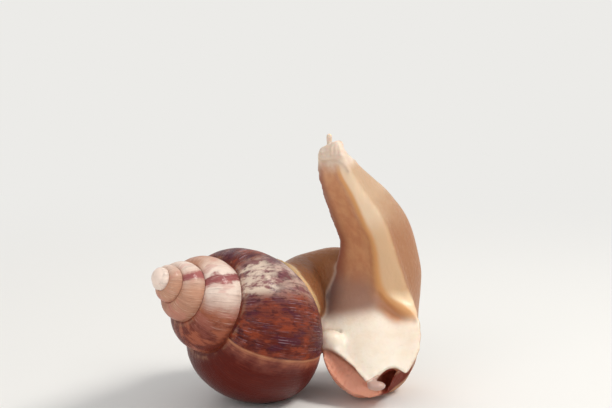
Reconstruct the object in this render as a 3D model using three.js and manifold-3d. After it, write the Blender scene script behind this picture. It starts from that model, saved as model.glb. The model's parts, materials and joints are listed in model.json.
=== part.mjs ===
// Giant African land snail at life size, rearing up beside its own shell.
// Millimetres, +Z up. The floor is z = 0, the front of the model faces -Y and
// the head end leans to +X. The shell lies on its side with its apex forward
// and to the left; the foot stands at the right, bent like the seat and back
// of a chair, with the head on top.
import * as THREE from 'three';
import { mergeVertices } from 'three/addons/utils/BufferGeometryUtils.js';
import Module from 'manifold-3d';

const wasm = await Module();
wasm.setup();

const DEG = Math.PI / 180;
const TURN = 360 * DEG;
const GAP = 0.3; // thin cut between neighbouring nodes
const DOWN = new THREE.Vector3(0, 0, -1);

// ---------------------------------------------------------------- shell sizes
// A whorl section is an oval, given for the whorl angle 0 and grown from there.
const APEX = new THREE.Vector3(-47.7, -32.8, 49);
const AXIS_TURN = 38 * DEG; // the axis swings from +X towards +Y
const AXIS_DIP = 28.8 * DEG; // and dips towards the floor
const NEAR_SIDE = new THREE.Vector3(0, -0.985, 0.174); // where whorl angle 0 faces
const WHORL_RADIUS = 10.1; // middle of the oval from the axis
const WHORL_HEIGHT = 47.3; // middle of the oval along the axis, from the apex
const OVAL_HALF_WIDTH = 13.15;
const OVAL_HALF_HEIGHT = 20.4;
const OVAL_TILT = 0.15;
const RADIUS_GROWTH = 1.61; // each turn multiplies radii by this
const HEIGHT_GROWTH = 1.707; // and heights by this
const GROWTH_SLOWING = 0.055; // adult whorls grow a little less
const FIRST_ANGLE = -4.4 * TURN;
const LIP_ANGLE = 220 * DEG;
const WALL = 1.3;
const SLOWING_FROM = -0.5; // turns
const AXIS_CLEARANCE = 0.5; // the ovals stop here, short of the axis
const COLUMELLA_TOP_RADIUS = 0.7;
const COLUMELLA_BASE_RADIUS = 2.4;
const COLUMELLA_LENGTH = 76;
const COLUMELLA_GAP = 2 * GAP; // its faceted cone needs a wider cut
const OVAL_POINTS = 20;
const RING_STEP = 18 * DEG;
const SEGMENT_TURN = 270 * DEG;
const BULB_HEIGHT = 4.9; // the rounded first whorl
const BULB_HALF_LENGTH = 2.8;
const BULB_RADIUS = 3.1;
const COLLAR_BACK = 55 * DEG; // the mantle fills the last whorl from here
const COLLAR_FRONT = 8 * DEG; // to here, inside the lip
const HOLLOW_DEPTH = 100 * DEG; // the mouth is open this far in
const PAST_LIP = 20 * DEG; // the hollow is cut clean through the lip
const EARLIER_WHORLS = 560 * DEG; // the whorls kept whole behind the hollow begin here
const EARLIER_END = 300 * DEG; // and end this far before the lip
const PARIETAL_END = 200 * DEG; // those under the flesh go on to here
const MOUTH_STEP = 3.5 * DEG; // the stalk starts this far ahead of the collar's front
const FLOOR_SIZE = 300;

// ----------------------------------------------------------------- body sizes
// Stations of the foot and back, from the tail tip up to the head: the middle
// of the sole, the way the sole faces (degrees from -Y towards -X), half-widths
// of the sole and of the back, the depth of the back and its lean to the left.
const BODY_STATIONS = [
  { x: 26.2, y: -19.8, z: 6.4, face: -4, sole: 6.5, back: 5.0, depth: 6.5, lean: 0 },
  { x: 24.8, y: -17.6, z: 10.6, face: -4, sole: 11.8, back: 10.5, depth: 12.5, lean: -0.5 },
  { x: 23.0, y: -13.0, z: 15.2, face: -2, sole: 14.8, back: 13.8, depth: 18.0, lean: -1 },
  { x: 21.7, y: -7.4, z: 19.0, face: 0, sole: 16.0, back: 15.0, depth: 22.5, lean: 0 },
  { x: 20.9, y: -1.3, z: 23.0, face: 4, sole: 16.2, back: 15.4, depth: 24.5, lean: 1.2 },
  { x: 20.3, y: 3.2, z: 28.2, face: 12, sole: 15.4, back: 14.4, depth: 24.0, lean: 3.2 },
  { x: 19.9, y: 5.5, z: 33.6, face: 26, sole: 14.4, back: 13.0, depth: 20.0, lean: 5.0 },
  { x: 19.8, y: 6.0, z: 39.0, face: 36, sole: 13.3, back: 11.8, depth: 18.5, lean: 5.0 },
  { x: 18.8, y: 5.5, z: 49.3, face: 44, sole: 11.2, back: 9.9, depth: 17.0, lean: 3.2 },
  { x: 16.1, y: 4.5, z: 56.8, face: 44, sole: 10.5, back: 9.4, depth: 14.5, lean: 2.8 },
  { x: 12.5, y: 3.0, z: 64.4, face: 43, sole: 8.9, back: 7.8, depth: 11.4, lean: 2.6 },
  { x: 9.6, y: 1.8, z: 71.2, face: 42, sole: 7.4, back: 6.7, depth: 8.4, lean: 1.6 },
  { x: 8.1, y: 1.0, z: 76.0, face: 42, sole: 6.3, back: 5.9, depth: 6.8, lean: 0.8 },
  { x: 7.7, y: 0.8, z: 79.0, face: 42, sole: 4.8, back: 5.3, depth: 6.0, lean: 0.4 },
];
// Above the sole's front rim the head goes on alone, and bulges forward.
const HEAD_STATIONS = [
  { x: 8.1, y: 1.0, z: 76.0, face: 42, back: 5.9, depth: 6.8, lean: 0.8, front: -1.5 },
  { x: 7.7, y: 0.8, z: 79.2, face: 42, back: 5.3, depth: 6.0, lean: 0.4, front: 1.0 },
  { x: 7.9, y: 1.3, z: 81.2, face: 42, back: 4.8, depth: 5.2, lean: 0.2, front: 1.4 },
  { x: 8.2, y: 1.9, z: 82.6, face: 42, back: 3.8, depth: 4.0, lean: 0, front: 1.2 },
  { x: 8.4, y: 2.5, z: 83.2, face: 42, back: 2.2, depth: 2.4, lean: 0, front: 0.7 },
];
const STATION_SPLIT = 2; // lofted rings for each station
const SMALL_STEP = 0.05; // of a station, to find which way the body runs
const RING_MARGIN = 0.08; // no ring stands closer than this to the end of a part
const SOLE_THICKNESS = 5.0;
const SOLE_HOLLOW = 1.6; // how far the middle of the sole is sunk
const MARGIN_ROLL = 2.6; // rounding of the sole's two margins
const FULL_MARGIN_WIDTH = 10; // narrower soles have thinner margins
const SOLE_END_GAP = 0.1; // the same cut above the sole's front rim, in stations
const BACK_START = 1.5; // the back begins this far behind the sole's middle
const BODY_POINTS = 20;

const HEAD_START = 10.7; // the head begins at this station of the body
const HEAD_JOIN = 12; // and its own stations take over before this one
const HEAD_SPACING = 0.6; // between rings up to there

// Where the foot and the back are parted, in stations from the tail tip.
const FOOT_PARTS = {
  tail: [0, 2.5],
  foot_rear: [2.5, 5.5],
  foot_middle: [5.5, 8.5],
  foot_front: [8.5, 13],
};
const BACK_PARTS = { tail_back: [0.3, 2.5], trunk: [2.5, 6.5], neck: [6.5, HEAD_START] };

// The stalk of flesh leaves the shell's mouth, swings behind the sole and joins
// the middle of the back. Half-sizes: at the mouth across and along its oval,
// and at the back level and upright.
const STALK_START = { across: 9.8, along: 14.5 };
const STALK_FINISH = { across: 6.8, along: 9.5 };
const STALK_OUT = 6; // how far it keeps the direction of the mouth
const STALK_SWING = [
  new THREE.Vector3(0, 16, 34),
  new THREE.Vector3(10, 20.5, 36),
  new THREE.Vector3(21, 16.5, 37),
];
const LIP_REACH = 30 * DEG; // the stretch of shell wall that the stalk could touch
const LIP_END_GAP = 1 * DEG;
const STALK_TURN_RATE = 4; // the rings start flat on the collar and soon follow the path
const STALK_SETTLED = 0.65; // the share of its length after which its section stays
const STALK_ROUNDS_FROM = 0.7; // from here its end rounds off inside the back
const STALK_ROUNDS_TO = 1.02;
const STALK_RINGS = 10;
const STALK_MEETS = [2.5, 11]; // the stations of the back that it could touch

// Feelers: where each stands on the head, where it points, length and radius.
// The upper left one is drawn in to a bump, the upper right one to a short stub.
const LOWER_FEELER = { length: 1.5, root: 0.9, tip: 0.8 };
const FEELERS = {
  upper_tentacle_left: {
    foot: [10.3, 1.9, 82.0], points: [0.2, -0.1, 1], length: 2.4, root: 1.6, tip: 1.45,
  },
  upper_tentacle_right: {
    foot: [7.6, 4.2, 81.8], points: [-0.02, 0, 1], length: 4.6, root: 1.0, tip: 0.85,
  },
  lower_tentacle_left: { foot: [8.6, -0.7, 80.4], points: [-0.1, -0.75, 0.65], ...LOWER_FEELER },
  lower_tentacle_right: { foot: [5.4, 2.0, 80.4], points: [-0.75, -0.25, 0.6], ...LOWER_FEELER },
};
const FEELER_SINK = 1.2; // how deep a feeler is set in the head
const FEELER_SIDES = 9;
const FEELER_TIP_STEPS = 3;
const EYE_RADIUS = 0.45;

// ------------------------------------------------------------------- colours
const SHELL_COLOUR = 0x7a3b2a;
const SKIN_COLOUR = 0xe6c39c;
const SOLE_COLOUR = 0xd9a77c;
const MANTLE_COLOUR = 0xd8b892;
const FEELER_COLOUR = 0xd5c2ae;
const EYE_COLOUR = 0x2a2320;

// ------------------------------------------------------------------- helpers
function closedLoft(rings) {
  // Skins the rings, each with as many points, and closes both ends.
  const points = rings.flat();
  const count = rings[0].length;
  const triangles = [];
  for (let r = 0; r < rings.length - 1; r++) {
    for (let k = 0; k < count; k++) {
      const a = r * count + k;
      const b = r * count + (k + 1) % count;
      triangles.push(a, b, a + count, b, b + count, a + count);
    }
  }
  for (const r of [0, rings.length - 1]) {
    const middle = rings[r].reduce((sum, p) => sum.add(p), new THREE.Vector3());
    const centre = points.push(middle.divideScalar(count)) - 1;
    for (let k = 0; k < count; k++) {
      const a = r * count + k;
      const b = r * count + (k + 1) % count;
      triangles.push(...(r === 0 ? [centre, b, a] : [centre, a, b]));
    }
  }
  const geometry = new THREE.BufferGeometry().setFromPoints(points);
  geometry.setIndex(signedVolume(points, triangles) < 0 ? triangles.reverse() : triangles);
  return geometry;
}

function signedVolume(points, triangles) {
  let sum = 0;
  for (let i = 0; i < triangles.length; i += 3) {
    const [a, b, c] = [0, 1, 2].map((j) => points[triangles[i + j]]);
    sum += a.dot(b.clone().cross(c));
  }
  return sum / 6;
}

function solid(geometry) {
  const bare = geometry.clone();
  bare.deleteAttribute('normal');
  bare.deleteAttribute('uv');
  const merged = mergeVertices(bare, 1e-4);
  return new wasm.Manifold(new wasm.Mesh({
    numProp: 3,
    vertProperties: new Float32Array(merged.attributes.position.array),
    triVerts: new Uint32Array(merged.index.array),
  }));
}

const union = (solids) => solids.reduce((sum, next) => sum.add(next));

function geometryOf(body) {
  const mesh = body.getMesh();
  const geometry = new THREE.BufferGeometry();
  geometry.setAttribute('position', new THREE.BufferAttribute(mesh.vertProperties, 3));
  geometry.setIndex(new THREE.BufferAttribute(mesh.triVerts, 1));
  geometry.computeVertexNormals();
  return geometry;
}

const group = new THREE.Group();

function addNode(name, body, colour, roughness) {
  const material = new THREE.MeshStandardMaterial({ color: colour, roughness, metalness: 0 });
  const mesh = new THREE.Mesh(geometryOf(body), material);
  mesh.name = name;
  group.add(mesh);
}

// --------------------------------------------------------------------- shell
const axis = new THREE.Vector3(
  Math.cos(AXIS_DIP) * Math.cos(AXIS_TURN),
  Math.cos(AXIS_DIP) * Math.sin(AXIS_TURN),
  -Math.sin(AXIS_DIP),
);
const near = NEAR_SIDE.clone().addScaledVector(axis, -NEAR_SIDE.dot(axis)).normalize();
const under = axis.clone().cross(near);

function shellPoint(angle, radius, height) {
  return APEX.clone()
    .addScaledVector(axis, height)
    .addScaledVector(near, radius * Math.cos(angle))
    .addScaledVector(under, radius * Math.sin(angle));
}

function growthAt(angle) {
  const late = Math.max(0, angle / TURN - SLOWING_FROM);
  const slowing = Math.exp(-GROWTH_SLOWING * late * late);
  const turns = angle / TURN;
  return { radius: RADIUS_GROWTH ** turns * slowing, height: HEIGHT_GROWTH ** turns * slowing };
}

function whorlRing(angle, inset) {
  const grown = growthAt(angle);
  const halfWidth = OVAL_HALF_WIDTH - inset / grown.radius;
  const halfHeight = OVAL_HALF_HEIGHT - inset / grown.height;
  const ring = [];
  for (let k = 0; k < OVAL_POINTS; k++) {
    const a = (k / OVAL_POINTS) * TURN;
    const u = halfWidth * Math.cos(a);
    const v = -halfHeight * Math.sin(a);
    const radius = grown.radius * (WHORL_RADIUS + u * Math.cos(OVAL_TILT) - v * Math.sin(OVAL_TILT));
    const height = grown.height * (WHORL_HEIGHT + u * Math.sin(OVAL_TILT) + v * Math.cos(OVAL_TILT));
    ring.push(shellPoint(angle, Math.max(radius, AXIS_CLEARANCE + Math.max(0, inset)), height));
  }
  return ring;
}

function whorls(start, end, inset) {
  // Joins segments shorter than a turn, so that none runs into itself.
  const pieces = Math.ceil((end - start) / SEGMENT_TURN);
  const parts = [];
  for (let p = 0; p < pieces; p++) {
    const from = start + ((end - start) * p) / pieces;
    const to = start + ((end - start) * (p + 1)) / pieces;
    const steps = Math.ceil((to - from) / RING_STEP);
    const rings = [];
    const overlap = p < pieces - 1 ? 1 : 0;
    for (let r = 0; r <= steps + overlap; r++) {
      rings.push(whorlRing(from + ((to - from) * r) / steps, inset));
    }
    parts.push(solid(closedLoft(rings)));
  }
  return union(parts);
}

function columella(extra) {
  const length = COLUMELLA_LENGTH;
  const base = COLUMELLA_BASE_RADIUS + extra;
  const cone = new THREE.CylinderGeometry(base, COLUMELLA_TOP_RADIUS, length, 12);
  cone.applyQuaternion(new THREE.Quaternion().setFromUnitVectors(new THREE.Vector3(0, 1, 0), axis));
  cone.translate(...APEX.clone().addScaledVector(axis, length / 2 + BULB_HEIGHT));
  return solid(cone);
}

function protoconch() {
  const bulb = new THREE.SphereGeometry(1, 14, 10);
  bulb.scale(BULB_RADIUS, BULB_HALF_LENGTH, BULB_RADIUS);
  bulb.applyQuaternion(new THREE.Quaternion().setFromUnitVectors(new THREE.Vector3(0, 1, 0), axis));
  bulb.translate(...APEX.clone().addScaledVector(axis, BULB_HEIGHT));
  return solid(bulb);
}

const floorBlock = solid(
  new THREE.BoxGeometry(FLOOR_SIZE, FLOOR_SIZE, FLOOR_SIZE).translate(0, 0, -FLOOR_SIZE / 2),
);
const outside = whorls(FIRST_ANGLE, LIP_ANGLE, 0).add(protoconch());
const earlier = whorls(LIP_ANGLE - EARLIER_WHORLS, LIP_ANGLE - EARLIER_END, 0);
const hollow = whorls(LIP_ANGLE - HOLLOW_DEPTH, LIP_ANGLE + PAST_LIP, WALL).subtract(earlier);
const shell = outside.subtract(hollow).add(columella(0)).subtract(floorBlock);
addNode('shell', shell, SHELL_COLOUR, 0.35);

// -------------------------------------------------------------------- mantle
const earlierWithGap = whorls(LIP_ANGLE - EARLIER_WHORLS, LIP_ANGLE - PARIETAL_END, -GAP);
const collar = whorls(LIP_ANGLE - COLLAR_BACK, LIP_ANGLE - COLLAR_FRONT, WALL + GAP)
  .subtract(earlierWithGap)
  .subtract(columella(COLUMELLA_GAP));
addNode('mantle_collar', collar, MANTLE_COLOUR, 0.5);

// ---------------------------------------------------------------------- body
function smoothStation(stations, s) {
  // Catmull-Rom through every number that the stations hold.
  const last = stations.length - 1;
  const i = Math.min(Math.floor(s), last - 1);
  const t = s - i;
  const at = (k) => stations[Math.min(Math.max(k, 0), last)];
  const mix = {};
  for (const key of Object.keys(stations[0])) {
    const [a, b, c, d] = [-1, 0, 1, 2].map((k) => at(i + k)[key]);
    mix[key] = 0.5 * (2 * b + (c - a) * t + (2 * a - 5 * b + 4 * c - d) * t * t
      + (3 * b - a - 3 * c + d) * t * t * t);
  }
  return mix;
}

function bodyFrame(stations, s) {
  const here = smoothStation(stations, s);
  const before = smoothStation(stations, Math.max(0, s - SMALL_STEP));
  const after = smoothStation(stations, Math.min(stations.length - 1, s + SMALL_STEP));
  const ahead = new THREE.Vector3(after.x - before.x, after.y - before.y, after.z - before.z).normalize();
  const facing = new THREE.Vector3(-Math.sin(here.face * DEG), -Math.cos(here.face * DEG), 0);
  facing.addScaledVector(ahead, -facing.dot(ahead)).normalize();
  const middle = new THREE.Vector3(here.x, here.y, here.z);
  return { here, middle, facing, across: ahead.clone().cross(facing) };
}

function soleRing(s, extra) {
  const { here, middle, facing, across } = bodyFrame(BODY_STATIONS, s);
  const size = Math.min(1, here.sole / FULL_MARGIN_WIDTH);
  const ring = [];
  for (let k = 0; k < BODY_POINTS; k++) {
    const a = (k / BODY_POINTS) * TURN;
    const side = Math.sin(a);
    const bulge = Math.abs(side);
    const sole = MARGIN_ROLL * bulge - (SOLE_HOLLOW + MARGIN_ROLL) * bulge ** 4;
    const rise = side < 0 ? sole * size + extra * bulge : -(SOLE_THICKNESS * size + extra) * bulge ** 0.8;
    ring.push(middle.clone()
      .addScaledVector(across, (here.sole + extra) * Math.cos(a))
      .addScaledVector(facing, rise));
  }
  return ring;
}

function backRing(stations, s, extra) {
  const { here, middle, facing, across } = bodyFrame(stations, s);
  const front = here.front ?? -BACK_START;
  const ring = [];
  for (let k = 0; k < BODY_POINTS; k++) {
    const a = (k / BODY_POINTS) * TURN;
    const side = Math.sin(a);
    const rise = side < 0 ? -(front + extra) * side : -(BACK_START + here.depth + extra) * side;
    ring.push(middle.clone()
      .addScaledVector(across, (here.back + extra) * Math.cos(a) + here.lean * Math.max(0, side))
      .addScaledVector(facing, rise));
  }
  return ring;
}

function lengthwise([from, to], ringAt) {
  // Rings stand at every share of a station, so that neighbours line up.
  const rings = [ringAt(from)];
  for (let k = Math.floor(from * STATION_SPLIT) + 1; k / STATION_SPLIT < to - RING_MARGIN; k++) {
    if (k / STATION_SPLIT > from + RING_MARGIN) {
      rings.push(ringAt(k / STATION_SPLIT));
    }
  }
  rings.push(ringAt(to));
  return solid(closedLoft(rings));
}

function stationGap(s) {
  // Half of the thin cut, as a share of the distance between two stations.
  const a = smoothStation(BODY_STATIONS, s);
  const b = smoothStation(BODY_STATIONS, s + SMALL_STEP);
  return (GAP / 2) * SMALL_STEP / Math.hypot(a.x - b.x, a.y - b.y, a.z - b.z);
}

const lastStation = BODY_STATIONS.length - 1;
const soleWithGap = lengthwise([0, lastStation + SOLE_END_GAP], (s) => soleRing(s, GAP));

function parted([from, to]) {
  const start = from > 0 ? from + stationGap(from) : from;
  const end = to < lastStation ? to - stationGap(to) : to;
  return [start, end];
}

for (const [name, range] of Object.entries(FOOT_PARTS)) {
  const part = lengthwise(parted(range), (s) => soleRing(s, 0)).subtract(floorBlock);
  addNode(name, part, SOLE_COLOUR, 0.45);
}
for (const [name, range] of Object.entries(BACK_PARTS)) {
  const part = lengthwise(parted(range), (s) => backRing(BODY_STATIONS, s, 0))
    .subtract(soleWithGap)
    .subtract(floorBlock);
  addNode(name, part, SKIN_COLOUR, 0.5);
}

// --------------------------------------------------------------------- stalk
const mouthAngle = LIP_ANGLE - COLLAR_FRONT + MOUTH_STEP;
const mouthGrowth = growthAt(mouthAngle);
const mouth = shellPoint(
  mouthAngle,
  WHORL_RADIUS * mouthGrowth.radius,
  WHORL_HEIGHT * mouthGrowth.height,
);
const outward = near.clone()
  .multiplyScalar(-Math.sin(mouthAngle))
  .addScaledVector(under, Math.cos(mouthAngle));
const stalkPath = new THREE.CatmullRomCurve3([
  mouth,
  mouth.clone().addScaledVector(outward, STALK_OUT),
  ...STALK_SWING,
]);

function stalkRing(t) {
  const centre = stalkPath.getPoint(t);
  const turned = Math.min(1, STALK_TURN_RATE * t);
  const ahead = outward.clone().lerp(stalkPath.getTangent(t), turned).normalize();
  const eased = THREE.MathUtils.smoothstep(t, 0, STALK_SETTLED);
  const along = axis.clone().lerp(DOWN, eased);
  along.addScaledVector(ahead, -along.dot(ahead)).normalize();
  const across = ahead.clone().cross(along);
  const ending = Math.max(0, (t - STALK_ROUNDS_FROM) / (STALK_ROUNDS_TO - STALK_ROUNDS_FROM));
  const rounding = Math.sqrt(1 - ending * ending);
  const { lerp } = THREE.MathUtils;
  const halfAcross = rounding * lerp(STALK_START.across, STALK_FINISH.across, eased);
  const halfAlong = rounding * lerp(STALK_START.along, STALK_FINISH.along, eased);
  const ring = [];
  for (let k = 0; k < BODY_POINTS; k++) {
    const a = (k / BODY_POINTS) * TURN;
    ring.push(centre.clone()
      .addScaledVector(across, halfAcross * Math.cos(a))
      .addScaledVector(along, halfAlong * Math.sin(a)));
  }
  return ring;
}

const stalkRings = Array.from({ length: STALK_RINGS + 1 }, (_, r) => stalkRing(r / STALK_RINGS));
const backWithGap = lengthwise(STALK_MEETS, (s) => backRing(BODY_STATIONS, s, GAP));
const lipWithGap = whorls(LIP_ANGLE - LIP_REACH, LIP_ANGLE + LIP_END_GAP, -GAP)
  .subtract(whorls(LIP_ANGLE - 2 * LIP_REACH, LIP_ANGLE + LIP_REACH, WALL + GAP));
const collarWithGap = whorls(LIP_ANGLE - COLLAR_BACK, LIP_ANGLE - COLLAR_FRONT + LIP_END_GAP, 0);
const stalk = solid(closedLoft(stalkRings))
  .subtract(lipWithGap)
  .subtract(collarWithGap)
  .subtract(earlierWithGap)
  .subtract(columella(COLUMELLA_GAP))
  .subtract(backWithGap)
  .subtract(soleWithGap);
addNode('stalk', stalk, SKIN_COLOUR, 0.5);

// ---------------------------------------------------------------------- head
function feeler({ foot, points, length, root, tip }, extra) {
  // A round-ended stub, turned about its own length and set in the head.
  const base = -FEELER_SINK - extra;
  const profile = [new THREE.Vector2(0, base), new THREE.Vector2(root + extra, base)];
  for (let k = 0; k <= FEELER_TIP_STEPS; k++) {
    const a = (k / FEELER_TIP_STEPS) * 90 * DEG;
    const radius = (tip + extra) * Math.cos(a);
    profile.push(new THREE.Vector2(radius, length - tip + (tip + extra) * Math.sin(a)));
  }
  profile[profile.length - 1].x = 0;
  const lathe = new THREE.LatheGeometry(profile, FEELER_SIDES);
  lathe.applyQuaternion(feelerTurn(points));
  lathe.translate(...foot);
  return solid(lathe);
}

function feelerTurn(points) {
  return new THREE.Quaternion().setFromUnitVectors(
    new THREE.Vector3(0, 1, 0),
    new THREE.Vector3(...points).normalize(),
  );
}

function eyeball({ foot, points, length }, extra) {
  // The eye sits half sunk in the tip of its feeler.
  const ball = new THREE.SphereGeometry(EYE_RADIUS + extra, 8, 6);
  ball.translate(0, length - EYE_RADIUS / 2, 0);
  ball.applyQuaternion(feelerTurn(points));
  ball.translate(...foot);
  return solid(ball);
}

const headRings = [];
for (let s = HEAD_START + stationGap(HEAD_START); s < HEAD_JOIN; s += HEAD_SPACING) {
  headRings.push(backRing(BODY_STATIONS, s, 0));
}
for (let s = 0; s <= HEAD_STATIONS.length - 1; s += 1) {
  headRings.push(backRing(HEAD_STATIONS, s, 0));
}
let head = solid(closedLoft(headRings)).subtract(soleWithGap);
for (const [name, sizes] of Object.entries(FEELERS)) {
  head = head.subtract(feeler(sizes, GAP));
  let stub = feeler(sizes, 0);
  if (name.startsWith('upper')) {
    stub = stub.subtract(eyeball(sizes, GAP));
    addNode(name.replace('upper_tentacle', 'eye'), eyeball(sizes, 0), EYE_COLOUR, 0.15);
  }
  addNode(name, stub, FEELER_COLOUR, 0.45);
}
addNode('head', head, SKIN_COLOUR, 0.5);

// The origin goes to the middle of the underside of the whole model.
const box = new THREE.Box3().setFromObject(group);
const centre = box.getCenter(new THREE.Vector3());
group.position.set(-centre.x, -centre.y, -box.min.z);
group.updateMatrixWorld(true);

export default group;
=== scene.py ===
# %% [markdown]
# A giant African land snail at life size, modelled the way a museum shows one.
# The snail lies on the side of its shell, and its body rears up beside it with
# the sole of the foot turned outwards. Three things are made here over the
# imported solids: a fine shell, one skin for all the soft body, and two eyes.
# Everything is in metres, in the frame of the solids.

# %% Load the frame
import json
import math

import bmesh
import bpy
import numpy as np
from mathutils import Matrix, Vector, kdtree, noise

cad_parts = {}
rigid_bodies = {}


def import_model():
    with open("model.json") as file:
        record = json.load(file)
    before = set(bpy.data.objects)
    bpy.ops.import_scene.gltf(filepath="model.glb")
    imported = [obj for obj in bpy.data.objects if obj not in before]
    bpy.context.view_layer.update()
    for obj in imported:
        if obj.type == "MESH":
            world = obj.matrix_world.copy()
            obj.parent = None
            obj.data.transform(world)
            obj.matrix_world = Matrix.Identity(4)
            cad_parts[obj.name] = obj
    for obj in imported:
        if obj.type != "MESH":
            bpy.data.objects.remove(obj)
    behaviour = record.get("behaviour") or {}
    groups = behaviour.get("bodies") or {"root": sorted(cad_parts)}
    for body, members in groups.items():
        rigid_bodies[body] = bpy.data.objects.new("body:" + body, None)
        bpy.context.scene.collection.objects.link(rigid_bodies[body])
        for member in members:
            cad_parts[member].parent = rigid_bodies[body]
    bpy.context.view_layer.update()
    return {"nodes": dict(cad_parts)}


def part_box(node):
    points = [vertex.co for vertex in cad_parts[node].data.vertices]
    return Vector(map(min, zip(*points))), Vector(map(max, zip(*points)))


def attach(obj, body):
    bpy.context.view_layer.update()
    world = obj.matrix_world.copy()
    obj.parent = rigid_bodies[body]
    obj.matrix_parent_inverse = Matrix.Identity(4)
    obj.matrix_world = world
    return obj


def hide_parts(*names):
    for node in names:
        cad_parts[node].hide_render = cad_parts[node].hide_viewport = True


for leftover in list(bpy.data.objects):
    bpy.data.objects.remove(leftover)
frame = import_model()

MM = 0.001
TURN = 2 * math.pi
DEG = math.pi / 180

# %% [markdown]
# A snail's shell is a tube that grows by a constant factor in every turn while
# it winds round an axis. So the shell isn't sculpted: one oval section is
# given, and the growth law carries it from the tiny first whorl to the lip.
# The numbers are the ones that the solid shell was made from, in millimetres.

# %% The growth law of the shell
APEX = np.array([-47.7, -32.8, 49.0])
AXIS_TURN = 38 * DEG
AXIS_DIP = 28.8 * DEG
NEAR_SIDE = np.array([0, -0.985, 0.174])
WHORL_RADIUS = 10.1
WHORL_HEIGHT = 47.3
OVAL_HALF_WIDTH = 13.15
OVAL_HALF_HEIGHT = 20.4
OVAL_TILT = 0.15
RADIUS_GROWTH = 1.61
HEIGHT_GROWTH = 1.707
GROWTH_SLOWING = 0.055
SLOWING_FROM = -0.5
FIRST_TURN = -4.4
LIP_TURN = 220 / 360
WALL = 1.3
AXIS_CLEARANCE = 0.5

axis = np.array([
    math.cos(AXIS_DIP) * math.cos(AXIS_TURN),
    math.cos(AXIS_DIP) * math.sin(AXIS_TURN),
    -math.sin(AXIS_DIP),
])
near = NEAR_SIDE - axis * (NEAR_SIDE @ axis)
near = near / np.linalg.norm(near)
under = np.cross(axis, near)

def growth(turn):
    """How much bigger than at turn 0 the tube is, across the axis and along it."""
    turn = np.asarray(turn, float)
    late = np.maximum(0, turn - SLOWING_FROM)
    slowing = np.exp(-GROWTH_SLOWING * late * late)
    return RADIUS_GROWTH ** turn * slowing, HEIGHT_GROWTH ** turn * slowing

def oval(turn, a, inset=0.0):
    """Distance from the axis and from the apex of the oval's points, in mm."""
    across, along = growth(turn)
    u = (OVAL_HALF_WIDTH - inset / across) * np.cos(a)
    v = -(OVAL_HALF_HEIGHT - inset / along) * np.sin(a)
    radius = across * (WHORL_RADIUS + u * math.cos(OVAL_TILT) - v * math.sin(OVAL_TILT))
    height = along * (WHORL_HEIGHT + u * math.sin(OVAL_TILT) + v * math.cos(OVAL_TILT))
    return np.maximum(radius, AXIS_CLEARANCE + np.maximum(0, inset)), height

def shell_points(turn, radius, height):
    """Turns the growth law's own coordinates into points, in mm."""
    angle = np.asarray(turn) * TURN
    return (APEX + height[..., None] * axis
            + (radius * np.cos(angle))[..., None] * near
            + (radius * np.sin(angle))[..., None] * under)

def in_oval(turn, radius, height):
    """Below 1 inside the tube's oval at that turn, above 1 outside it."""
    across, along = growth(turn)
    u = radius / across - WHORL_RADIUS
    v = height / along - WHORL_HEIGHT
    right = u * math.cos(OVAL_TILT) + v * math.sin(OVAL_TILT)
    down = -u * math.sin(OVAL_TILT) + v * math.cos(OVAL_TILT)
    return (right / OVAL_HALF_WIDTH) ** 2 + (down / OVAL_HALF_HEIGHT) ** 2

def seams(turn):
    """The oval's angles where the whorl before covers it and where the next one will."""
    a = np.linspace(0, math.pi, 600)
    above = a[np.argmax(in_oval(turn - 1, *oval(turn, a)) < 1)]
    a = above - a
    below = a[np.argmax(in_oval(turn + 1, *oval(turn, a)) < 1)]
    return above, below

seam_above, seam_below = seams(-0.6)
print("a whorl shows between", round(seam_above / DEG), "and", round(seam_below / DEG), "degrees")

# %% [markdown]
# The shell's mesh is a grid: rings across the tube, one for every degree or two
# of growth. Growth leaves marks that run across the tube, so they are raised
# here as a function of the length grown: slow swellings, and one sharp step
# where the snail rested for a season before it built the last quarter turn.
# Each point also keeps how far along and across the tube it is, which the
# colours need later.

# %% Growth marks
GROWTH_SLANT = 0.045
REST_LINE = 0.072
REST_STEP = 0.35
REST_SHARPNESS = 0.005
REST_BUILDS_FROM = -0.35
REST_BUILDS_OVER = 0.4
SWELLING = 0.14
WHORL_BULGE = 0.45
SEAM_PINCH = 0.45
SIDES_SHOWN = 96
SIDES_HIDDEN = 14
SHOWN_ABOVE = 0.25
SHOWN_TO = -2.75
RINGS = ((-4.4, 6.0), (-3.0, 4.0), (-1.6, 2.4), (-0.5, 1.2), (LIP_TURN, 0))
PITCH = math.log(RADIUS_GROWTH) / TURN

def grown_length(turn):
    """Length of tube built up to that turn, in mm, measured along its outside."""
    return (WHORL_RADIUS + OVAL_HALF_WIDTH) * RADIUS_GROWTH ** np.asarray(turn) / PITCH

def noise_line(values, scale, seed):
    """Smooth noise between about -1 and 1 along a line of numbers."""
    return np.array([noise.noise((v * scale, seed, 0.5 * seed)) for v in values])

def ring_turns():
    turns = []
    for (start, step), (end, _) in zip(RINGS, RINGS[1:]):
        count = math.ceil((end - start) * 360 / step)
        turns.extend(start + (end - start) * np.arange(count) / count)
    return np.array(turns + [LIP_TURN])

turns = ring_turns()
fine_lines = np.linspace(FIRST_TURN, LIP_TURN + 0.2, 4000)
swelling = SWELLING * (noise_line(grown_length(fine_lines), 0.11, 3)
                       + 0.6 * noise_line(grown_length(fine_lines), 0.4, 7))
rest = REST_STEP * (0.5 + 0.5 * np.tanh((REST_LINE - fine_lines) / REST_SHARPNESS))
line_relief = swelling + rest * np.clip((fine_lines - REST_BUILDS_FROM) / REST_BUILDS_OVER, 0, 1)

def growth_line(turn, across):
    """The growth line through a point: lines slant back towards the shell's base."""
    return turn + GROWTH_SLANT * np.clip(across, 0, 2)

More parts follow.
